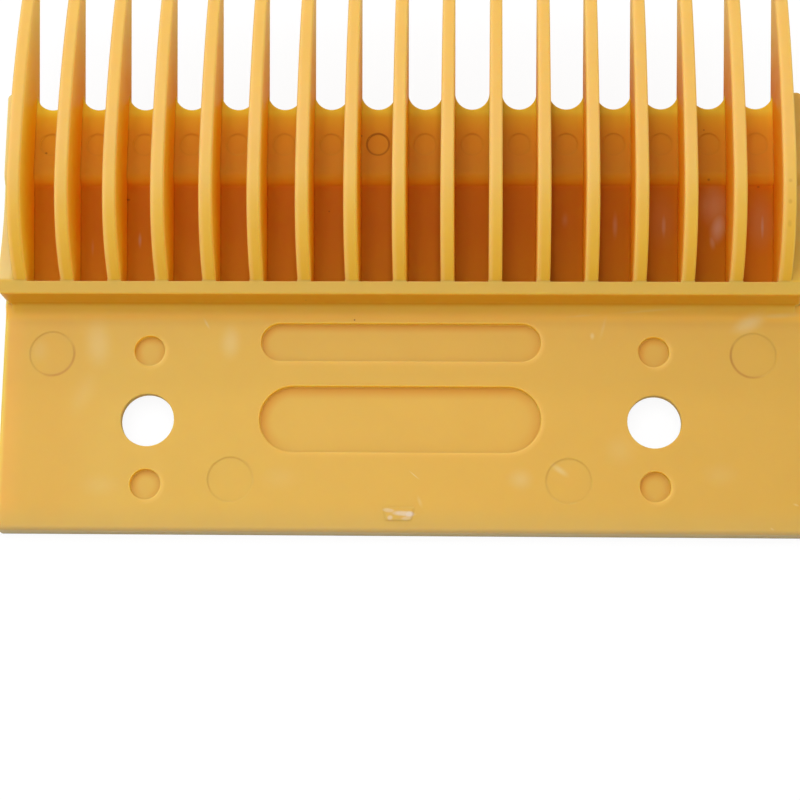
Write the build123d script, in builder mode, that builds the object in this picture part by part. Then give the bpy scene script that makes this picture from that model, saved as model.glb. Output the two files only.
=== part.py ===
"""Escalator comb plate segment, moulded in one piece from tough yellow plastic.

The segment lies underside up: +Z points out of its seating face, +Y runs
from the screw flange towards the tooth tips and X runs across the steps.
The origin is midway between the two screw holes, on the seating face.
All lengths are in millimetres and all angles in degrees.
"""
from build123d import *
from math import radians, tan
import os

os.makedirs("parts", exist_ok=True)

# Tooth row
tooth_count = 17
tooth_pitch = 9.068
tooth_thickness = 2.6
tooth_tip_thickness = 2.35
tooth_tip_height = 2.8
tooth_tip_radius = 1.3
tooth_edge_chamfer = 0.3
tooth_reach = 25.9
segment_gap = 0.2

# Screw flange
flange_depth = 44.2
flange_thickness = 5.0
flange_corner_radius = 0.6
flange_edge_radius = 0.8
hole_line_to_rear = 21.5
hole_spacing = 97.0
hole_diameter = 10.3
hole_land = 2.0
head_angle = 90.0

# Cross bar behind the bays
bar_thickness = 2.5
bar_height = 8.6
bar_foot_radius = 2.1
bar_edge_radius = 0.4
bar_end_radius = 1.5

# Deck between the teeth
deck_length = 34.8
deck_slope = 11.8
bend_behind_bar = 2.7
floor_at_bar = 1.8
floor_at_step = 5.6
step_from_bar = 19.9
step_run = 1.6
step_edge_radius = 2.5
pad_height = 6.9
flute_depth = 1.0

# Belly of a tooth, seen from the side
belly_toe = 0.2
belly_peak_from_bar = 20.3
belly_peak_height = 18.8

# Cheeks that tie the ends of the bar to the deck
cheek_dip = 5.7
cheek_root = 1.0
deck_corner_radius = 1.0

# Blind round recesses above and below each screw hole
dimple_diameter = 6.0
dimple_depth = 1.0
front_dimple_from_holes = 13.6
rear_dimple_from_holes = 12.5

# Bare marking recesses in the middle of the flange
panel_length = 54.0
panel_depth = 1.0
wide_panel_width = 13.0
wide_panel_from_holes = 0.3
narrow_panel_width = 7.6
narrow_panel_from_holes = 15.4

# Ejector pin witnesses on the flange and in the bays
flange_mark_diameter = 8.7
flange_mark_depth = 0.15
front_mark_spacing = 135.0
front_mark_from_holes = 13.0
rear_mark_spacing = 64.4
rear_mark_from_holes = 11.5
bay_mark_diameter = 4.3
bay_mark_depth = 0.12
bay_mark_from_bar = 27.8

# Gate witness near the rear edge
gate_width = 5.9
gate_length = 2.4
gate_side_angle = 76.0
gate_height = 0.15
gate_from_holes = 17.95

# Places that follow from the sizes above
overall_width = tooth_count * tooth_pitch - segment_gap
rear_y = -hole_line_to_rear
bar_rear_y = rear_y + flange_depth
bar_front_y = bar_rear_y + bar_thickness
bar_middle_y = bar_rear_y + bar_thickness / 2
bend_y = bar_rear_y - bend_behind_bar
step_y = bar_front_y + step_from_bar
slot_end_y = bar_front_y + deck_length
tip_y = slot_end_y + tooth_reach
top_z = -flange_thickness


def crest_z(y):
    """Height of the tooth crests on the walking side at a place along Y."""
    return top_z + (y - bend_y) * tan(radians(deck_slope))


def tooth_width(y):
    """Thickness of a tooth at a place along Y."""
    share = (y - bar_front_y) / (tip_y - bar_front_y)
    return tooth_thickness + (tooth_tip_thickness - tooth_thickness) * share


slot_radius = (tooth_pitch - tooth_width(slot_end_y)) / 2
deck_front_y = slot_end_y + slot_radius

# Flange, bar and deck as one section across the whole width
seat_rear = (rear_y, 0)
foot = (bar_rear_y, 0)
bar_heel = (bar_rear_y, bar_height)
step_edge = (step_y + step_run, pad_height)
with BuildPart() as plate:
    with BuildSketch(Plane.YZ) as plate_section:
        with BuildLine():
            Polyline(
                seat_rear,
                (rear_y, top_z),
                (bend_y, top_z),
                (deck_front_y, crest_z(deck_front_y) + flute_depth),
                (deck_front_y, pad_height),
                step_edge,
                (step_y, floor_at_step),
                (bar_front_y, floor_at_bar),
                (bar_front_y, bar_height),
                bar_heel,
                foot,
                close=True,
            )
        make_face()
        fillet(plate_section.vertices().sort_by_distance(foot)[0], bar_foot_radius)
        fillet(plate_section.vertices().sort_by_distance(bar_heel)[0], bar_edge_radius)
        fillet(plate_section.vertices().sort_by_distance(step_edge)[0], step_edge_radius)
        fillet(plate_section.vertices().sort_by_distance(seat_rear)[0], flange_edge_radius)
    extrude(amount=overall_width / 2, both=True)
    rear_corners = plate.edges().filter_by(Axis.Z).group_by(Axis.Y)[0]
    fillet(rear_corners, flange_corner_radius)
    front_corners = plate.edges().filter_by(Axis.Z).group_by(Axis.Y)[-1]
    fillet(front_corners, deck_corner_radius)

    # Slots between the teeth end in a full round
    slot_length = tooth_reach + slot_radius
    with BuildSketch(Plane.XY.offset(top_z)):
        with Locations((0, slot_end_y + slot_radius)):
            with GridLocations(tooth_pitch, 1, tooth_count - 1, 1):
                Circle(slot_radius)
                Rectangle(2 * slot_radius, slot_length, align=(Align.CENTER, Align.MIN))
    extrude(amount=flange_thickness + bar_height, mode=Mode.SUBTRACT)

    # Cheeks at the two ends of the bar, in one sweep from the step
    cheek_width = overall_width / 2 - tooth_pitch * (tooth_count - 1) / 2
    for side in (-1, 1):
        with BuildSketch(Plane.YZ.offset(side * overall_width / 2)):
            with BuildLine():
                TangentArc(
                    (step_y, floor_at_step),
                    (bar_front_y, bar_height),
                    tangent=(-1, -tan(radians(cheek_dip))),
                )
                Polyline(
                    (bar_front_y, bar_height),
                    (bar_middle_y, bar_height),
                    (bar_middle_y, 0),
                    (step_y, floor_at_step - cheek_root),
                    (step_y, floor_at_step),
                )
            make_face()
        extrude(amount=-side * cheek_width)

    # Rounded rear corners at the two ends of the bar
    for side in (-1, 1):
        corner = (side * (overall_width / 2 - bar_end_radius), bar_rear_y + bar_end_radius)
        outward = Align.MIN if side > 0 else Align.MAX
        with BuildSketch():
            with Locations(corner):
                Rectangle(
                    bar_end_radius,
                    bar_end_radius + bar_foot_radius,
                    align=(outward, Align.MAX),
                )
                Circle(bar_end_radius, mode=Mode.SUBTRACT)
        extrude(amount=bar_height, mode=Mode.SUBTRACT)

# One tooth, from its crest on the walking side to its belly
peak = (bar_front_y + belly_peak_from_bar, belly_peak_height)
toe = (bar_front_y + belly_toe, bar_height)
nose_low = (tip_y, crest_z(tip_y))
nose_high = (tip_y, crest_z(tip_y) + tooth_tip_height)
with BuildPart() as tooth:
    with BuildSketch(Plane.YZ) as tooth_section:
        with BuildLine():
            rear_belly = TangentArc(peak, toe, tangent=(-1, 0))
            front_belly = TangentArc(peak, nose_high, tangent=(1, 0))
            Polyline(
                nose_high,
                nose_low,
                (bend_y, top_z),
                (bar_middle_y, top_z / 2),
                (bar_middle_y, bar_height),
                toe,
            )
        make_face()
        nose = tooth_section.vertices().group_by(Axis.X)[-1]
        fillet(nose, tooth_tip_radius)
    extrude(amount=tooth_thickness, both=True)
    with BuildSketch(Plane.XY.offset(top_z)):
        with BuildLine():
            Polyline(
                (-tooth_width(bend_y) / 2, bend_y),
                (-tooth_tip_thickness / 2, tip_y),
                (tooth_tip_thickness / 2, tip_y),
                (tooth_width(bend_y) / 2, bend_y),
                close=True,
            )
        make_face()
    extrude(amount=flange_thickness + belly_peak_height, mode=Mode.INTERSECT)
    flanks = tooth.faces().filter_by(lambda face: abs(face.normal_at().X) > 0.9)
    rims = flanks.edges().filter_by_position(Axis.Y, bar_front_y + belly_toe, tip_y)
    chamfer(rims, tooth_edge_chamfer)

# The whole segment
with BuildPart() as comb_plate:
    add(plate.part)
    with GridLocations(tooth_pitch, 1, tooth_count, 1):
        add(tooth.part)

    # Ejector witnesses in the bays
    with BuildSketch(Plane.XY.offset(pad_height)):
        with Locations((0, bar_front_y + bay_mark_from_bar)):
            with GridLocations(tooth_pitch, 1, tooth_count - 1, 1):
                Circle(bay_mark_diameter / 2)
    extrude(amount=-bay_mark_depth, mode=Mode.SUBTRACT)

    # Ejector witnesses on the flange
    with BuildSketch():
        with Locations((0, front_mark_from_holes)):
            with GridLocations(front_mark_spacing, 1, 2, 1):
                Circle(flange_mark_diameter / 2)
        with Locations((0, -rear_mark_from_holes)):
            with GridLocations(rear_mark_spacing, 1, 2, 1):
                Circle(flange_mark_diameter / 2)
    extrude(amount=-flange_mark_depth, mode=Mode.SUBTRACT)

    # Blind recesses around the screw holes
    with BuildSketch():
        for dimple_y in (front_dimple_from_holes, -rear_dimple_from_holes):
            with Locations((0, dimple_y)):
                with GridLocations(hole_spacing, 1, 2, 1):
                    Circle(dimple_diameter / 2)
    extrude(amount=-dimple_depth, mode=Mode.SUBTRACT)

    # Bare marking recesses
    with BuildSketch():
        with Locations((0, wide_panel_from_holes)):
            SlotOverall(panel_length, wide_panel_width)
        with Locations((0, narrow_panel_from_holes)):
            SlotOverall(panel_length, narrow_panel_width)
    extrude(amount=-panel_depth, mode=Mode.SUBTRACT)

    # Gate witness
    with BuildSketch():
        with Locations((0, -gate_from_holes)):
            Trapezoid(gate_width, gate_length, gate_side_angle, rotation=180)
    extrude(amount=gate_height)

    # Screw holes, countersunk from the walking side
    sink_depth = flange_thickness - hole_land
    head_radius = hole_diameter / 2 + sink_depth * tan(radians(head_angle / 2))
    with Locations(Plane(origin=(0, 0, top_z), z_dir=(0, 0, -1))):
        with GridLocations(hole_spacing, 1, 2, 1):
            CounterSinkHole(hole_diameter / 2, head_radius, counter_sink_angle=head_angle)

comb_plate.part.label = "comb_plate"
export_step(comb_plate.part, "parts/comb_plate.step")
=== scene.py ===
"""Looks of an escalator comb plate segment, moulded in one piece from yellow plastic.

The segment lies underside up, as in the photograph: +Z points out of the
seating face, +Y runs towards the tooth tips and X runs across the steps.
Everything is in metres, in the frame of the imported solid, and only the
finish is worked out in millimetres.
"""

from __future__ import annotations

import logging
import math
from dataclasses import dataclass
from enum import Enum
from typing import Any

import bpy
from mathutils import Euler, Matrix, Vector


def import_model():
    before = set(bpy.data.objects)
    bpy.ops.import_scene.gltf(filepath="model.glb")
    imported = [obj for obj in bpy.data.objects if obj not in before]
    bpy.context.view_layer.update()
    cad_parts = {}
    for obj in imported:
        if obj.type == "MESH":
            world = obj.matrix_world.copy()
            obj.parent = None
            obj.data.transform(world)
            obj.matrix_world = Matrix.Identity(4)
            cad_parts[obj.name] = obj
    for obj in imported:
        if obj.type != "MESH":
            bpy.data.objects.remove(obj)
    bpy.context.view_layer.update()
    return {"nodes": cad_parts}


LOG = logging.getLogger("comb_plate")
MM = 0.001
Number = int | float
Colour = tuple[float, float, float, float]


class Blend(Enum):
    """How one colour is laid over another."""

    COVER = "MIX"
    TINT = "MULTIPLY"


class Sock:
    """A value in a shader, with the usual operators on it."""

    def __init__(self, graph: Graph, socket: bpy.types.NodeSocket) -> None:
        """Keeps the socket and the graph it is in."""
        self.graph = graph
        self.socket = socket

    def maths(self, operation: str, *others: Sock | Number) -> Sock:
        """Adds a Math node on this value.

        Args:
            operation: the Math node's operation.
            others: the second and third operands.

        Returns:
            The result.
        """
        inputs = dict(enumerate((self, *others)))
        return self.graph.value("ShaderNodeMath", {"operation": operation}, inputs)

    def __add__(self, other: Sock | Number) -> Sock:
        """Sum."""
        return self.maths("ADD", other)

    __radd__ = __add__

    def __mul__(self, other: Sock | Number) -> Sock:
        """Product."""
        return self.maths("MULTIPLY", other)

    __rmul__ = __mul__

    def __sub__(self, other: Sock | Number) -> Sock:
        """Difference."""
        return self.maths("SUBTRACT", other)

    def __rsub__(self, other: Number) -> Sock:
        """Difference from a number."""
        return (self * -1) + other

    def __truediv__(self, other: Sock | Number) -> Sock:
        """Quotient."""
        return self.maths("DIVIDE", other)

    def size(self) -> Sock:
        """The value without its sign."""
        return self.maths("ABSOLUTE")

    def above(self, low: Number, high: Number) -> Sock:
        """A soft mask that is 0 up to the low value and 1 from the high one."""
        return self.soft_step(low, high, 1.0)

    def below(self, low: Number, high: Number, most: Number = 1.0) -> Sock:
        """A soft mask that is at its most up to the low value and 0 from the high one."""
        return self.soft_step(high, low, most)

    def soft_step(self, empty: Number, full: Number, most: Number) -> Sock:
        """Goes smoothly from 0 to its most between two values.

        Args:
            empty: where the mask is 0.
            full: where the mask is at its most.
            most: the mask's greatest value.

        Returns:
            The mask.
        """
        settings = {"interpolation_type": "SMOOTHSTEP", "clamp": False}
        inputs = {"Value": self, "From Min": empty, "From Max": full, "To Max": most}
        return self.graph.value("ShaderNodeMapRange", settings, inputs)


class Graph:
    """The nodes of one material or world."""

    MIX_FACTOR = 0
    MIX_UNDER = 6
    MIX_OVER = 7
    MIX_RESULT = 2

    def __init__(self, tree: bpy.types.NodeTree) -> None:
        """Empties the tree and keeps it."""
        self.tree = tree
        tree.nodes.clear()

    def node(self, kind: str, settings: dict[str, Any], inputs: dict[Any, Any]) -> bpy.types.Node:
        """Adds a node.

        Args:
            kind: the node's type.
            settings: the node's own settings, set first; "stops" are a ramp's stops.
            inputs: values or links, by the socket's name or place.

        Returns:
            The node.
        """
        node = self.tree.nodes.new(kind)
        for name, value in settings.items():
            if name == "stops":
                self._set_stops(node, value)
            else:
                setattr(node, name, value)
        for place, value in inputs.items():
            if isinstance(value, Sock):
                self.tree.links.new(value.socket, node.inputs[place])
            else:
                node.inputs[place].default_value = value
        return node

    @staticmethod
    def _set_stops(node: bpy.types.Node, stops: tuple[tuple[float, Colour], ...]) -> None:
        """Sets a ramp's stops.

        Args:
            node: the ramp.
            stops: each stop's place and colour, in order.
        """
        elements = node.color_ramp.elements
        while len(elements) > 1:
            elements.remove(elements[-1])
        for index, (place, colour) in enumerate(stops):
            stop = elements[0] if index == 0 else elements.new(place)
            stop.position = place
            stop.color = colour

    def value(
        self,
        kind: str,
        settings: dict[str, Any],
        inputs: dict[Any, Any],
        output: int | str = 0,
    ) -> Sock:
        """Adds a node and gives one of its outputs.

        Args:
            kind: the node's type.
            settings: the node's own settings.
            inputs: values or links of its sockets.
            output: the output's name or place.

        Returns:
            The output.
        """
        return Sock(self, self.node(kind, settings, inputs).outputs[output])

    def mix(
        self,
        factor: Sock | Number,
        under: Sock,
        over: Sock | Colour,
        blend: Blend = Blend.COVER,
    ) -> Sock:
        """Lays one colour over another.

        Args:
            factor: share of the upper colour.
            under: the lower colour.
            over: the upper colour.
            blend: how it is laid on.

        Returns:
            The mixed colour.
        """
        settings = {"data_type": "RGBA", "blend_type": blend.value, "clamp_factor": True}
        inputs = {self.MIX_FACTOR: factor, self.MIX_UNDER: under, self.MIX_OVER: over}
        return self.value("ShaderNodeMix", settings, inputs, self.MIX_RESULT)

    def noise(self, place: Sock, scale: float, detail: float = 2.0) -> Sock:
        """Soft noise from 0 to 1.

        Args:
            place: where the noise is read.
            scale: how fine it is.
            detail: how many finer layers it has.

        Returns:
            The noise.
        """
        return self.value("ShaderNodeTexNoise", {}, {"Vector": place, "Scale": scale, "Detail": detail})


def srgb(red: int, green: int, blue: int) -> Colour:
    """A colour given in the 0 to 255 steps of a screen.

    Args:
        red: red share.
        green: green share.
        blue: blue share.

    Returns:
        The colour as a shader takes it.
    """

    def linear(step: int) -> float:
        """One share as light."""
        share = step / 255
        return share / 12.92 if share <= 0.04045 else ((share + 0.055) / 1.055) ** 2.4

    return (linear(red), linear(green), linear(blue), 1.0)


def tint(red: float, green: float, blue: float) -> Colour:
    """A tint, by how much of each light it leaves."""
    return (red, green, blue, 1.0)


@dataclass(frozen=True)
class Ramp:
    """Colours along one run of the plastic, with its length in millimetres."""

    length: float
    stops: tuple[tuple[float, Colour], ...]

    def at(self, graph: Graph, run: Sock) -> Sock:
        """The colour at a run from the start."""
        return graph.value("ShaderNodeValToRGB", {"stops": self.stops}, {0: run / self.length})


@dataclass(frozen=True)
class Recess:
    """A round-ended recess in the seating face, in millimetres."""

    y: float
    half: float
    radius: float
    shade_reach: float


@dataclass(frozen=True)
class CombSizes:
    """Sizes of the segment that its finish follows, in millimetres."""

    half_width: float = 77.0
    pitch: float = 9.068
    end_tooth: float = 72.544
    end_flank: float = 73.4
    rear_edge: float = -21.5
    foot: float = 20.6
    bar_rear: float = 22.7
    bar_front: float = 25.2
    bar_top: float = 8.6
    slot_end: float = 60.0
    peak_y: float = 45.5
    peak_z: float = 18.8
    rear_belly: float = 24.9
    front_belly: float = 116.4
    bay_mark_y: float = 53.0
    bay_mark: float = 2.15
    hole_side: float = 48.5
    wide_panel: Recess = Recess(0.3, 20.5, 6.5, 2.7)
    narrow_panel: Recess = Recess(15.4, 23.2, 3.8, 2.0)
    front_dimple: Recess = Recess(13.6, 0.0, 3.0, 1.9)
    rear_dimple: Recess = Recess(-12.5, 0.0, 3.0, 1.9)
    flange_mark: float = 4.35
    flange_mark_x: float = 67.5
    flange_mark_y: float = 13.0


@dataclass(frozen=True)
class Mark:
    """One soft oval mark on the plastic, in millimetres and degrees."""

    x: float
    y: float
    wide: float
    long: float
    turn: float = 0.0
    share: float = 1.0
    z: float = 0.0
    reach: float = 1.5


class PlasticMaps:
    """Masks over the moulded segment, all worked out from the place on it."""

    def __init__(self, graph: Graph, sizes: CombSizes) -> None:
        """Reads the place in millimetres and the way the surface faces."""
        self.graph = graph
        self.sizes = sizes
        metres = graph.value("ShaderNodeTexCoord", {}, {}, "Object")
        scale = {"operation": "SCALE"}
        self.place = graph.value("ShaderNodeVectorMath", scale, {0: metres, "Scale": 1000.0})
        split = graph.node("ShaderNodeSeparateXYZ", {}, {0: self.place})
        self.x, self.y, self.z = (Sock(graph, output) for output in split.outputs)
        facing = graph.value("ShaderNodeTexCoord", {}, {}, "Normal")
        turned = graph.node("ShaderNodeSeparateXYZ", {}, {0: facing})
        facing_right = Sock(graph, turned.outputs[0])
        self.sideways = facing_right.size().above(0.5, 0.8)
        self.upward = Sock(graph, turned.outputs[2]).above(-0.6, -0.3)
        self.leftward = facing_right.below(-0.6, -0.3)
        self.depth = self.below_crown()

    @staticmethod
    def arc_fall(run: Sock, radius: float) -> Sock:
        """How far an arc has fallen from its top after a run along it."""
        left = (radius**2 - run * run).maths("MAXIMUM", 0.0)
        return radius - left.maths("SQRT")

    def below_crown(self) -> Sock:
        """How far a point lies under the crown line of the teeth.

        Returns:
            The depth in millimetres.
        """
        sizes = self.sizes
        behind = (sizes.peak_y - self.y).maths("MAXIMUM", 0.0)
        ahead = (self.y - sizes.peak_y).maths("MAXIMUM", 0.0)
        fall = self.arc_fall(behind, sizes.rear_belly) + self.arc_fall(ahead, sizes.front_belly)
        return sizes.peak_z - fall - self.z

    def across_tooth(self) -> Sock:
        """Place across a tooth, from its middle plane, in millimetres."""
        half = self.sizes.pitch / 2
        return self.x.maths("WRAP", -half, half)

    def across_bay(self) -> Sock:
        """Place across a bay, from its middle plane, in millimetres."""
        return self.x.maths("WRAP", self.sizes.pitch, 0.0) - self.sizes.pitch / 2

    def between_teeth(self) -> Sock:
        """Finds the bays and the tooth sides in them, but not the two outer sides.

        Returns:
            The mask.
        """
        sizes = self.sizes
        inner = self.x.size().below(sizes.end_tooth, sizes.end_flank)
        return inner * self.y.above(sizes.bar_front - 0.15, sizes.bar_front + 0.1)

    def bay_rings(self) -> Sock:
        """Draws thin lines round the ejector marks in the bays.

        Returns:
            The mask.
        """
        ahead = self.y - self.sizes.bay_mark_y
        across = self.across_bay()
        radius = (across * across + ahead * ahead).maths("SQRT")
        line = (radius - self.sizes.bay_mark).size().below(0.05, 0.3)
        strongest_bay = (self.x + self.sizes.pitch / 2).size().below(3.0, 4.5, 0.5)
        return line * (strongest_bay + 0.08)

    def hole_side(self) -> Sock:
        """Place across the nearer of the two hole columns, in millimetres."""
        half = self.sizes.hole_side
        return (self.x - half).maths("WRAP", half, -half)

    def rim(self, recess: Recess, across: Sock) -> tuple[Sock, Sock, Sock]:
        """Shade inside a recess's rim, light outside it and its edge, by the way the rim faces.

        Args:
            recess: the recess.
            across: place across it, from its middle.

        Returns:
            The masks of the painted shade, the painted light and the painted light on the edge.
        """
        straight = across.maths("MAXIMUM", -recess.half).maths("MINIMUM", recess.half)
        beyond = across - straight
        ahead = self.y - recess.y
        reach = (beyond * beyond + ahead * ahead).maths("SQRT").maths("MAXIMUM", 0.01)
        inside = recess.radius - reach
        upper = ahead / reach
        right = beyond / reach
        upper_left = (upper * 0.5 - right * 0.45 + 0.48).maths("MINIMUM", 1.0)
        facing = upper_left.maths("MAXIMUM", right.size() * 0.45)
        shade = inside.below(0.0, recess.shade_reach) * inside.above(-0.1, 0.0)
        lit = (right * 0.75 - upper * 0.35).maths("MAXIMUM", 0.0)
        light = inside.above(-1.1, -0.15) * inside.below(-0.05, 0.05)
        edge = inside.above(-0.15, 0.03) * inside.below(0.08, 0.35)
        return shade * facing, light * lit, edge * facing

    def flange_mark_shade(self) -> Sock:
        """Masks painted shade: dark arcs on the inner lower side of the two front ejector marks.

        Returns:
            The mask.
        """
        sizes = self.sizes
        inward = sizes.flange_mark_x - self.x.size()
        back = sizes.flange_mark_y - self.y
        reach = (inward * inward + back * back).maths("SQRT").maths("MAXIMUM", 0.01)
        line = (reach - sizes.flange_mark).size().below(0.05, 0.4)
        return line * ((inward * 0.75 + back * 0.66) / reach).above(0.1, 0.9)

    def marks(self, marks: tuple[Mark, ...], core: float = 0.0) -> Sock:
        """All the marks of one kind.

        Args:
            marks: the marks.
            core: the share of each that is at full strength.

        Returns:
            The mask.
        """
        total: Sock | None = None
        for mark in marks:
            length = {"operation": "LENGTH"}
            reach = self.graph.value("ShaderNodeVectorMath", length, {0: self.on_mark(mark)}, "Value")
            spot = reach.below(core, 1.0, mark.share)
            total = spot if total is None else total.maths("MAXIMUM", spot)
        return total

    def on_mark(self, mark: Mark) -> Sock:
        """Finds the place on a mark, from its middle, in shares of its own size.

        Args:
            mark: the mark.

        Returns:
            The place.
        """
        middle = (mark.x, mark.y, mark.z)
        size = (mark.wide, mark.long, mark.reach)
        if mark.turn:
            turn = (0.0, 0.0, math.radians(mark.turn))
            inputs = {"Vector": self.place, "Location": middle, "Rotation": turn, "Scale": size}
            return self.graph.value("ShaderNodeMapping", {"vector_type": "TEXTURE"}, inputs)
        grow = tuple(1.0 / side for side in size)
        move = tuple(-centre / side for centre, side in zip(middle, size))
        settings = {"operation": "MULTIPLY_ADD"}
        return self.graph.value("ShaderNodeVectorMath", settings, {0: self.place, 1: grow, 2: move})


@dataclass(frozen=True)
class WearAndSheen:
    """Painted sheen patches with a few scuffs, painted reflections in the bays, specks and the torn
    gate scar, as the photograph shows them.
    """

    # pale colour of the painted sheen patches, shared with a few real scuffs
    scuff_and_sheen_colour: Colour = srgb(201, 180, 130)
    # colour of the painted reflections in the bays
    bay_reflection_colour: Colour = srgb(182, 132, 96)
    speck_colour: Colour = srgb(88, 44, 12)
    scar_colour: Colour = srgb(200, 182, 160)
    speck_core: float = 0.3
    scar_core: float = 0.35
    # Soft pale patches: painted sheen on the flange and along the bar's foot, with a few real scuffs
    # and a scratch.
    scuffs_and_sheen: tuple[Mark, ...] = (
        Mark(-58.6, 15.0, 3.6, 6.5, 6.0, 0.34),
        Mark(-61.0, 5.0, 3.0, 6.0, -24.0, 0.14),
        Mark(-32.9, 15.3, 2.7, 4.6, 0.0, 0.38),
        Mark(-70.0, 13.6, 2.6, 3.4, 0.0, 0.16),
        Mark(72.5, 20.8, 5.5, 0.8, 3.0, 0.34),
        Mark(-37.6, 19.0, 0.35, 1.7, 30.0, 0.5),
        Mark(-57.1, -12.7, 5.0, 3.0, 0.0, 0.14),
        Mark(-22.7, -11.2, 5.0, 3.0, 0.0, 0.1),
        Mark(66.8, 19.3, 4.8, 2.2, 27.0, 0.56),
        Mark(65.4, 18.5, 1.8, 0.6, 45.0, 0.5),
        Mark(47.9, 21.7, 8.5, 0.35, 4.5, 0.26),
        Mark(34.5, 20.7, 4.2, 0.35, 5.0, 0.2),
        Mark(38.9, 18.4, 0.5, 3.2, -15.0, 0.22),
        Mark(36.8, 16.7, 0.6, 1.0, 0.0, 0.6),
        Mark(23.0, -11.2, 3.2, 2.8, 0.0, 0.3),
        Mark(30.5, -9.4, 2.6, 0.9, -35.0, 0.5),
        Mark(41.9, -5.5, 4.0, 4.0, 0.0, 0.14),
        Mark(60.7, -10.2, 4.5, 3.0, 0.0, 0.12),
        Mark(74.8, -15.8, 0.8, 0.3, -20.0, 0.5),
        Mark(70.2, -20.4, 0.6, 0.3, -30.0, 0.4),
        Mark(4.0, -15.6, 0.5, 1.6, 20.0, 0.3),
        Mark(2.9, -10.5, 1.7, 0.16, -40.0, 0.8),
    )
    # Pale streak-like marks on the bay floors: painted reflections of something bright.
    bay_reflections: tuple[Mark, ...] = (
        Mark(59.9, 41.3, 3.6, 5.6, 0.0, 0.5, 4.8, 2.2),
        Mark(60.7, 37.2, 1.9, 4.2, -8.0, 1.0, 4.1, 2.0),
        Mark(59.7, 34.4, 0.8, 2.0, 8.0, 0.6, 3.6),
        Mark(69.2, 37.4, 0.55, 3.8, 0.0, 1.0, 4.1),
        Mark(68.8, 38.0, 3.4, 8.0, 0.0, 0.28, 4.3, 2.6),
        Mark(-59.8, 33.3, 0.4, 2.2, 0.0, 0.25, 3.3),
        Mark(-50.6, 34.7, 0.45, 2.0, 0.0, 0.75, 3.6),
        Mark(31.5, 38.6, 0.9, 2.0, 0.0, 0.25, 4.4),
        Mark(41.1, 37.6, 0.7, 3.6, 0.0, 0.42, 4.1),
        Mark(50.4, 37.6, 0.7, 3.6, 0.0, 0.6, 4.1),
        Mark(50.0, 38.5, 3.6, 8.0, 0.0, 0.13, 4.3, 2.6),
    )
    specks: tuple[Mark, ...] = (
        Mark(-8.94, 19.8, 0.22, 0.22),
        Mark(-18.1, 22.9, 0.25, 0.6, 0.0, 0.7, 4.0, 0.3),
        Mark(-69.0, 51.3, 0.35, 0.3, 0.0, 0.6, 6.9),
        Mark(-13.9, 40.2, 0.2, 0.2, 0.0, 0.7, 4.7, 2.0),
        Mark(-52.9, 42.4, 0.5, 0.25, 0.0, 0.7, 5.2, 0.5),
        Mark(-7.7, 54.7, 0.2, 0.2, 0.0, 0.9, 6.9),
        Mark(58.9, 46.0, 0.4, 0.3, 0.0, 0.5, 6.6),
        Mark(68.4, 44.8, 0.4, 0.3, 0.0, 0.5, 6.0),
        Mark(58.1, 55.8, 0.2, 0.2, 0.0, 0.8, 6.9),
        Mark(72.6, 42.0, 0.5, 0.5, 0.0, 0.18, 18.6),
        Mark(72.6, 38.2, 0.5, 0.6, 0.0, 0.18, 17.7),
        Mark(72.6, 34.4, 0.5, 0.9, 0.0, 0.14, 16.2),
    )
    scar: tuple[Mark, ...] = (
        Mark(-1.9, -17.3, 1.5, 0.5, -6.0, 0.5),
        Mark(0.9, -17.9, 2.7, 0.65, -3.0, 0.75),
        Mark(2.0, -18.0, 1.2, 0.75, 0.0, 1.0),
        Mark(-1.6, -18.7, 0.7, 0.6, 20.0, 0.55),
        Mark(1.5, -18.8, 1.3, 0.5, 8.0, 0.4),
    )

    def lay(self, graph: Graph, maps: PlasticMaps, colour: Sock) -> Sock:
        """Lays the painted sheen and reflections, the scuffs, the specks and the scar over a colour.

        Args:
            graph: the material's nodes.
            maps: the masks over the segment.
            colour: the clean colour.

        Returns:
            The colour with all of them laid on.
        """
        # painted sheen patches and scuffs
        scuffed_and_sheened = graph.mix(maps.marks(self.scuffs_and_sheen), colour, self.scuff_and_sheen_colour)
        # painted reflections in the bays
        reflected = graph.mix(maps.marks(self.bay_reflections), scuffed_and_sheened, self.bay_reflection_colour)
        specked = graph.mix(maps.marks(self.specks, self.speck_core), reflected, self.speck_colour)
        torn = graph.noise(maps.place, 1.4).above(0.25, 0.6) * 0.15 + 0.85
        return graph.mix(maps.marks(self.scar, self.scar_core) * torn, specked, self.scar_colour)


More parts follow.
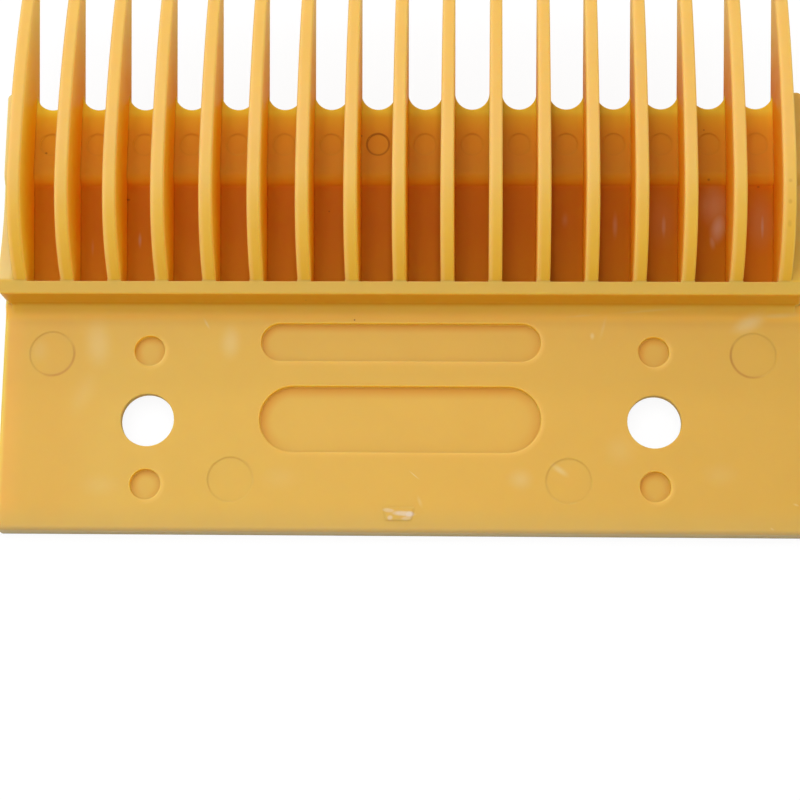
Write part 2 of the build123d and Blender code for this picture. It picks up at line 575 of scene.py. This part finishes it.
@dataclass(frozen=True)
class MouldedPlastic:
    """Tough yellow plastic, slightly see-through where it is thin, with much of its light and shade
    painted into its colour.
    """

    name: str = "comb_plastic_moulded"
    roughness: float = 0.36
    uneven_gloss: float = 0.08
    coat: float = 0.2
    index: float = 1.46
    mirror_level: float = 0.02
    glow_depth: float = 2.2 * MM
    glow_spread: tuple[float, float, float] = (1.0, 0.6, 0.3)
    edge_radius: float = 0.5 * MM
    sizes: CombSizes = CombSizes()
    # painted sheen and reflections, laid with the scuffs, specks and gate scar
    wear_and_sheen: WearAndSheen = WearAndSheen()
    # painted shade on tooth sides that face left, and on sides past the first tooth
    left_facing_side_shade: Colour = tint(0.75, 0.53, 0.7)
    inner_side_shade: Colour = tint(0.98, 0.82, 0.8)
    # painted light on tooth sides towards the open tips
    side_tip_light: Colour = srgb(226, 184, 76)
    side_tip_light_share: float = 0.7
    # painted light by the bay wall in view, and painted shade by the far wall
    bay_near_light: Colour = tint(1.15, 1.08, 1.0)
    bay_far_shade: Colour = tint(0.8, 0.72, 0.5)
    # painted light on bay floors towards the left and in the two end bays
    bay_left_light: Colour = tint(1.18, 1.15, 1.05)
    first_bay_light: Colour = tint(1.02, 1.1, 1.15)
    last_bay_light: Colour = tint(1.18, 1.16, 1.4)
    bay_ring: Colour = srgb(118, 58, 8)
    # painted highlight on the crowns' left rims
    crown_rim_highlight: Colour = srgb(215, 176, 112)
    # painted glow along the flange's left end, brighter at its very edge
    left_margin_glow: Colour = srgb(202, 156, 68)
    left_edge_glow: Colour = srgb(203, 175, 82)
    rear_margin: Colour = srgb(186, 153, 73)
    # painted shade, greyed by the floor's bounce, on the rear face
    rear_edge: Colour = srgb(172, 146, 92)
    near_bar_tint: Colour = tint(0.9, 0.9, 0.85)
    # painted glow in the bar's foot and on its rear wall
    bar_foot_glow: Colour = srgb(211, 164, 61)
    bar_wall_glow: Colour = srgb(198, 135, 27)
    bar_top: Colour = srgb(185, 151, 59)
    recess_shade: Colour = srgb(187, 127, 14)
    recess_light: Colour = srgb(214, 178, 96)
    recess_light_share: float = 0.5
    # painted light on the recess edges
    recess_edge_light: Colour = srgb(230, 184, 68)
    recess_edge_light_share: float = 0.7
    # painted glow on the recess walls, strongest where the rim is shaded
    recess_wall_glow: Colour = srgb(255, 206, 40)
    recess_wall_glow_least: float = 0.15
    recess_wall_glow_shaded: float = 0.75
    # painted shade arcs by the front ejector marks
    mark_arc_shade: Colour = srgb(160, 98, 24)
    mark_arc_shade_share: float = 0.6
    # painted light on the upward faces at the left end
    end_ledge_light: Colour = srgb(207, 181, 118)
    cloud_tint: Colour = tint(0.82, 0.8, 0.78)
    cloud_share: float = 0.1
    # painted orange glow and shade on the tooth sides, deeper further down into the bay
    side_glow_ramp: Ramp = Ramp(
        length=14.0,
        stops=(
            (0.0, srgb(248, 205, 89)),
            (0.08, srgb(252, 212, 66)),
            (0.2, srgb(252, 206, 46)),
            (0.45, srgb(252, 199, 30)),
            (0.8, srgb(253, 189, 22)),
            (1.0, srgb(253, 164, 16)),
        ),
    )
    # painted shade and orange glow along the bay floors, with a dark band on the step's shaded riser
    floor_shade_ramp: Ramp = Ramp(
        length=40.0,
        stops=(
            (0.0, srgb(175, 107, 12)),
            (0.1, srgb(174, 103, 11)),
            (0.3, srgb(172, 96, 9)),
            (0.47, srgb(174, 96, 7)),
            (0.486, srgb(178, 92, 3)),
            (0.5, srgb(190, 107, 8)),
            (0.512, srgb(197, 126, 19)),
            (0.524, srgb(192, 129, 24)),
            (0.537, srgb(186, 127, 26)),
            (0.551, srgb(181, 122, 28)),
            (0.58, srgb(180, 120, 28)),
            (0.63, srgb(182, 119, 27)),
            (0.76, srgb(189, 127, 26)),
            (0.83, srgb(195, 146, 30)),
            (0.86, srgb(198, 168, 46)),
        ),
    )
    crown_ramp: Ramp = Ramp(
        length=40.0,
        stops=(
            (0.0, srgb(205, 159, 45)),
            (0.17, srgb(204, 163, 60)),
            (0.43, srgb(201, 164, 76)),
            (0.66, srgb(204, 164, 84)),
            (0.87, srgb(206, 166, 85)),
        ),
    )
    flange_ramp: Ramp = Ramp(
        length=154.0,
        stops=(
            (0.0, srgb(195, 155, 64)),
            (0.07, srgb(195, 154, 64)),
            (0.13, srgb(195, 158, 69)),
            (0.25, srgb(196, 158, 66)),
            (0.6, srgb(197, 156, 63)),
            (1.0, srgb(191, 151, 62)),
        ),
    )

    def side_colour(self, graph: Graph, maps: PlasticMaps) -> Sock:
        """Paints orange glow and shade on a tooth side, deeper further down into the bay, on sides that
        face left and on sides past the first tooth, and paints light towards the open tips.

        Args:
            graph: the material's nodes.
            maps: the masks over the segment.

        Returns:
            The colour.
        """
        # painted glow and shade by depth below the crown
        lit = self.side_glow_ramp.at(graph, maps.depth)
        # painted shade on sides that face left
        shaded = graph.mix(maps.leftward, lit, self.left_facing_side_shade, Blend.TINT)
        # painted shade on sides past the first tooth
        past_first_tooth = maps.x.above(-70.0, -64.0)
        side = graph.mix(past_first_tooth, shaded, self.inner_side_shade, Blend.TINT)
        # painted light towards the open tips
        towards_tip = maps.y.above(self.sizes.slot_end + 1.0, self.sizes.slot_end + 18.0)
        return graph.mix(towards_tip * self.side_tip_light_share, side, self.side_tip_light)

    def floor_colour(self, graph: Graph, maps: PlasticMaps) -> Sock:
        """Paints shade and orange glow on the bay floor, deepest between the bar and the step, with
        painted light by the wall in view, towards the left and in the end bays, painted shade by the
        far wall, and dark rings round the ejector marks.

        Args:
            graph: the material's nodes.
            maps: the masks over the segment.

        Returns:
            The colour.
        """
        # painted shade and glow along the bay
        floor = self.floor_shade_ramp.at(graph, maps.y - self.sizes.bar_front)
        seen_from_right = maps.x.below(8.0, 24.0) * 2 - 1
        away = maps.across_bay() * seen_from_right
        near = away.below(-3.25, -1.8)
        far = away.above(1.6, 3.2)
        # painted light by the wall in view and painted shade by the far wall
        lit_near_wall = graph.mix(near, floor, self.bay_near_light, Blend.TINT)
        dimmed = graph.mix(far, lit_near_wall, self.bay_far_shade, Blend.TINT)
        # painted light towards the left and in the two end bays
        towards_left = maps.x.below(-75.0, 45.0)
        lit_from_left = graph.mix(towards_left, dimmed, self.bay_left_light, Blend.TINT)
        first_bay = maps.x.below(-66.0, -63.5)
        last_bay = maps.x.above(63.5, 66.0)
        first = graph.mix(first_bay, lit_from_left, self.first_bay_light, Blend.TINT)
        last = graph.mix(last_bay, first, self.last_bay_light, Blend.TINT)
        return graph.mix(maps.bay_rings(), last, self.bay_ring)

    def crown_colour(self, graph: Graph, maps: PlasticMaps) -> Sock:
        """Colours the tooth crowns, paler towards the tips, with a painted highlight on their left
        rims.

        Args:
            graph: the material's nodes.
            maps: the masks over the segment.

        Returns:
            The colour.
        """
        crown = self.crown_ramp.at(graph, maps.y - self.sizes.bar_front)
        # painted highlight along each crown's left rim
        left_rim_highlight = maps.across_tooth().below(-0.9, -0.2, 0.4)
        return graph.mix(left_rim_highlight, crown, self.crown_rim_highlight)

    def plain_colour(self, graph: Graph, maps: PlasticMaps) -> Sock:
        """Colours the flange and the bar: painted glow along the left end, greyer towards the rear,
        painted shade on the rear face, painted light and shade round the recesses, and painted glow in
        the bar's foot and on its rear wall.

        Args:
            graph: the material's nodes.
            maps: the masks over the segment.

        Returns:
            The colour.
        """
        sizes = self.sizes
        plain = self.flange_ramp.at(graph, maps.x + sizes.half_width)
        # painted glow along the left end and its very edge
        towards_left = maps.x.below(1.5 - sizes.half_width, 5.5 - sizes.half_width)
        left = graph.mix(towards_left, plain, self.left_margin_glow)
        at_left = maps.x.below(0.4 - sizes.half_width, 1.3 - sizes.half_width)
        edged = graph.mix(at_left, left, self.left_edge_glow)
        towards_rear = maps.y.below(sizes.rear_edge, sizes.rear_edge + 6.0, 0.9)
        rear = graph.mix(towards_rear, edged, self.rear_margin)
        # painted shade, greyed by the floor's bounce, on the rear face
        at_rear = maps.y.below(sizes.rear_edge, sizes.rear_edge + 1.2)
        ended = graph.mix(at_rear, rear, self.rear_edge)
        towards_bar = maps.y.above(2.0, 9.0) * maps.y.below(16.0, 18.5, 0.38)
        dimmed = graph.mix(towards_bar, ended, self.near_bar_tint, Blend.TINT)
        rimmed = self.recess_rims(graph, maps, dimmed)
        behind_bar = maps.y.below(sizes.bar_rear + 0.1, sizes.bar_rear + 0.2)
        seat = maps.z.above(-0.5, -0.2) * behind_bar
        # painted glow in the bar's foot
        foot = maps.y.above(sizes.foot - 1.7, sizes.foot) * seat
        footed = graph.mix(foot, rimmed, self.bar_foot_glow)
        past_foot = maps.y.above(sizes.bar_rear - 0.7, sizes.bar_rear - 0.1)
        # painted orange glow on the bar's rear wall
        wall = maps.z.above(0.3, 1.8) * past_foot * seat
        walled = graph.mix(wall, footed, self.bar_wall_glow)
        on_bar = maps.y.above(sizes.bar_rear - 0.2, sizes.bar_rear + 0.3)
        top = maps.z.above(sizes.bar_top - 0.5, sizes.bar_top - 0.1) * on_bar
        return graph.mix(top, walled, self.bar_top)

    def recess_rims(self, graph: Graph, maps: PlasticMaps, colour: Sock) -> Sock:
        """Paints shade inside the recesses' rims, light outside them and on their edges, by the way
        each rim faces, lifts their walls with painted glow, and paints shade arcs by the front ejector
        marks.

        Args:
            graph: the material's nodes.
            maps: the masks over the segment.
            colour: the plain colour.

        Returns:
            The colour.
        """
        sizes = self.sizes
        side = maps.hole_side()
        recesses = (
            (sizes.wide_panel, maps.x),
            (sizes.narrow_panel, maps.x),
            (sizes.front_dimple, side),
            (sizes.rear_dimple, side),
        )
        sunk = maps.z.below(-0.35, -0.2)
        shaded: Sock | None = None
        for recess, across in recesses:
            shade, light, edge = maps.rim(recess, across)
            # painted shade inside each rim, painted light outside it and on its edge
            deeper = graph.mix(shade * sunk, colour, self.recess_shade)
            lighter = graph.mix(light * self.recess_light_share, deeper, self.recess_light)
            colour = graph.mix(edge * self.recess_edge_light_share, lighter, self.recess_edge_light)
            shaded = shade if shaded is None else shaded + shade
        off_rear = maps.y.above(sizes.rear_edge + 1.0, sizes.rear_edge + 1.5)
        # painted glow on the recess walls, strongest where the rim is shaded
        wall = maps.z.above(-0.93, -0.8) * sunk * off_rear
        wall_share = shaded * self.recess_wall_glow_shaded + self.recess_wall_glow_least
        walled = graph.mix(wall * wall_share, colour, self.recess_wall_glow)
        # painted shade arcs by the front ejector marks
        return graph.mix(maps.flange_mark_shade() * self.mark_arc_shade_share, walled, self.mark_arc_shade)

    def base_colour(self, graph: Graph, maps: PlasticMaps) -> Sock:
        """Puts the colour together.

        Args:
            graph: the material's nodes.
            maps: the masks over the segment.

        Returns:
            The colour.
        """
        front = self.sizes.bar_front
        # bay floors and tooth sides carry painted shade and orange glow
        deep = graph.mix(maps.sideways, self.floor_colour(graph, maps), self.side_colour(graph, maps))
        plain = self.plain_colour(graph, maps)
        # painted light on the upward faces at the left end
        left_end = maps.x.below(-75.0, -73.6) * maps.y.above(front, front + 0.8)
        ledge = left_end * maps.z.above(2.0, 4.0) * (1 - maps.sideways)
        ledged = graph.mix(ledge, plain, self.end_ledge_light)
        inside = maps.between_teeth() * maps.depth.above(0.0, 0.3) * maps.upward
        filled = graph.mix(inside, ledged, deep)
        crown = maps.depth.below(0.05, 0.5) * maps.y.above(front, front + 0.4)
        crowned = graph.mix(crown, filled, self.crown_colour(graph, maps))
        cloud = graph.noise(maps.place, 0.11, 3.0).above(0.3, 0.75)
        mottled = graph.mix(cloud * self.cloud_share, crowned, self.cloud_tint, Blend.TINT)
        return self.wear_and_sheen.lay(graph, maps, mottled)

    def make(self) -> bpy.types.Material:
        """Makes the material.

        Returns:
            The material.
        """
        material = bpy.data.materials.new(self.name)
        material.use_nodes = True
        graph = Graph(material.node_tree)
        maps = PlasticMaps(graph, self.sizes)
        soft_edge = graph.value("ShaderNodeBevel", {"samples": 2}, {"Radius": self.edge_radius})
        open_face = 1 - maps.between_teeth() * maps.depth.above(0.1, 0.9)
        smoothest = self.roughness - self.uneven_gloss / 2
        gloss = graph.noise(maps.place, 0.35).above(0.2, 0.8) * self.uneven_gloss + smoothest
        shader = graph.node(
            "ShaderNodeBsdfPrincipled",
            {"subsurface_method": "RANDOM_WALK"},
            {
                "Base Color": self.base_colour(graph, maps),
                "Roughness": gloss,
                "IOR": self.index,
                "Specular IOR Level": self.mirror_level,
                "Normal": soft_edge,
                "Subsurface Weight": 1.0,
                "Subsurface Radius": self.glow_spread,
                "Subsurface Scale": self.glow_depth,
                "Coat Weight": open_face * self.coat,
                "Coat Roughness": self.roughness,
            },
        )
        graph.node("ShaderNodeOutputMaterial", {}, {"Surface": Sock(graph, shader.outputs[0])})
        return material


@dataclass(frozen=True)
class PaleFloor:
    """A plain white table that keeps the object's shadow."""

    name: str = "pale_floor"
    colour: Colour = (0.57, 0.57, 0.585, 1.0)
    seen_white: float = 1.06
    seen_share: float = 0.86

    def make(self) -> bpy.types.Material:
        """Makes the material.

        Returns:
            The material.
        """
        material = bpy.data.materials.new(self.name)
        material.use_nodes = True
        graph = Graph(material.node_tree)
        cloth = graph.value("ShaderNodeBsdfDiffuse", {}, {"Color": self.colour})
        white = graph.value("ShaderNodeEmission", {}, {"Strength": self.seen_white})
        seen = graph.value("ShaderNodeLightPath", {}, {}, "Is Camera Ray") * self.seen_share
        surface = graph.value("ShaderNodeMixShader", {}, {0: seen, 1: cloth, 2: white})
        graph.node("ShaderNodeOutputMaterial", {}, {"Surface": surface})
        return material


@dataclass
class CombPlate:
    """The moulded segment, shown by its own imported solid."""

    node_name: str = "comb_plate"
    finish: MouldedPlastic = MouldedPlastic()

    def dress(self, nodes: dict[str, bpy.types.Object]) -> bpy.types.Object:
        """Gives the solid its finish.

        Args:
            nodes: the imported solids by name.

        Returns:
            The dressed solid.
        """
        piece = nodes[self.node_name]
        material = self.finish.make()
        for slot in piece.material_slots:
            slot.material = material
        return piece


@dataclass(frozen=True)
class Lamp:
    """One soft square lamp."""

    name: str
    place: tuple[float, float, float]
    aim: tuple[float, float, float]
    side: float
    power: float
    colour: tuple[float, float, float] = (1.0, 1.0, 1.0)

    def hang(self) -> bpy.types.Object:
        """Hangs the lamp and turns it to what it lights.

        Returns:
            The lamp.
        """
        data = bpy.data.lights.new(self.name, "AREA")
        data.shape = "SQUARE"
        data.size = self.side
        data.energy = self.power
        data.color = self.colour
        lamp = bpy.data.objects.new(self.name, data)
        lamp.location = self.place
        way = Vector(self.aim) - Vector(self.place)
        lamp.rotation_euler = way.to_track_quat("-Z", "Y").to_euler()
        bpy.context.scene.collection.objects.link(lamp)
        return lamp


@dataclass
class Studio:
    """Floor, lamp, sky and camera."""

    floor_height: float = -5.0 * MM
    floor_side: float = 6.0
    sky_strength: float = 0.8
    lens: float = 93.68
    sensor_width: float = 36.0
    nearest_seen: float = 0.01
    furthest_seen: float = 20.0
    camera_place: tuple[float, float, float] = (0.016046, -0.07627, 0.389981)
    camera_turn: tuple[float, float, float] = (11.65593, 2.21242, 0.67932)

    def build(self) -> None:
        """Builds the studio round the object."""
        self.lay_floor()
        self.hang_lamp()
        self.light_sky()
        self.set_camera()
        bpy.context.scene.view_settings.view_transform = "Standard"

    def lay_floor(self) -> None:
        """Lays the floor under the object."""
        half = self.floor_side / 2
        corners = [(-half, -half, 0), (half, -half, 0), (half, half, 0), (-half, half, 0)]
        mesh = bpy.data.meshes.new("floor")
        mesh.from_pydata(corners, [], [(0, 1, 2, 3)])
        floor = bpy.data.objects.new("floor", mesh)
        floor.location = (0, 0, self.floor_height)
        mesh.materials.append(PaleFloor().make())
        bpy.context.scene.collection.objects.link(floor)

    def hang_lamp(self) -> None:
        """Hangs the soft lamp."""
        Lamp("key_lamp", place=(-0.14, 0.2, 0.88), aim=(0, 0.02, 0), side=0.7, power=7.0).hang()

    def light_sky(self) -> None:
        """Lights the room evenly."""
        world = bpy.data.worlds.new("room")
        world.use_nodes = True
        graph = Graph(world.node_tree)
        light = {"Color": (1.0, 1.0, 1.0, 1.0), "Strength": self.sky_strength}
        sky = graph.value("ShaderNodeBackground", {}, light)
        graph.node("ShaderNodeOutputWorld", {}, {"Surface": sky})
        bpy.context.scene.world = world

    def set_camera(self) -> None:
        """Sets the camera at the photograph's viewing angle."""
        data = bpy.data.cameras.new("camera")
        data.lens = self.lens
        data.sensor_width = self.sensor_width
        data.clip_start = self.nearest_seen
        data.clip_end = self.furthest_seen
        camera = bpy.data.objects.new("camera", data)
        camera.location = self.camera_place
        camera.rotation_euler = Euler([math.radians(turn) for turn in self.camera_turn])
        bpy.context.scene.collection.objects.link(camera)
        bpy.context.scene.camera = camera


def main() -> None:
    """Loads the frame and builds the looks round it."""
    logging.basicConfig(level=logging.INFO, format="%(name)s: %(message)s")
    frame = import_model()
    piece = CombPlate().dress(frame["nodes"])
    LOG.info("dressed %s", piece.name)
    Studio().build()
    LOG.info("built the studio")


if __name__ == "__main__":
    main()
